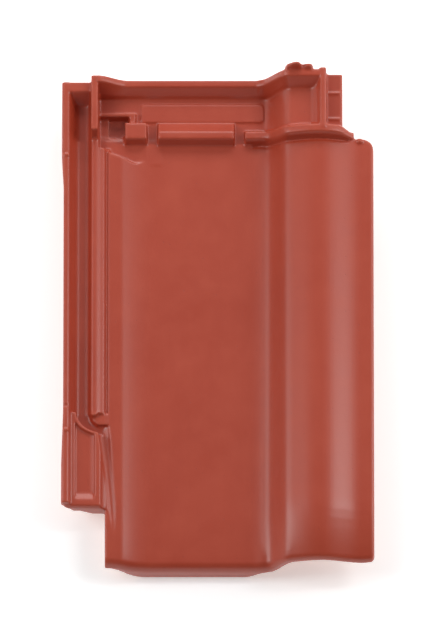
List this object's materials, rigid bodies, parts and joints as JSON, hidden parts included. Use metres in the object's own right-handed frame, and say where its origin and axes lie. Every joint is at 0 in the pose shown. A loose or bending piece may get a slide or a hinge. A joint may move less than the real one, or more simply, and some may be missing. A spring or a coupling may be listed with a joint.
{
  "type": "clay roof tile",
  "caption": "Interlocking clay roof tile with a flat pan, a broad roll, a grooved side lock, a ribbed head lap and two hanging nibs.",
  "frame": {"origin": "middle of the tile's footprint, on the bed plane that the foot nose and the nibs stand on", "axes": "+Y runs up the roof to the head, +X to the roll, +Z out of the roof"},
  "size_m": [0.272, 0.454, 0.0695],
  "materials": {
    "fired_clay": "satin red engobe on fired clay"
  },
  "bodies": {
    "root": {"roof_tile": "fired_clay"}
  },
  "joints": []
}
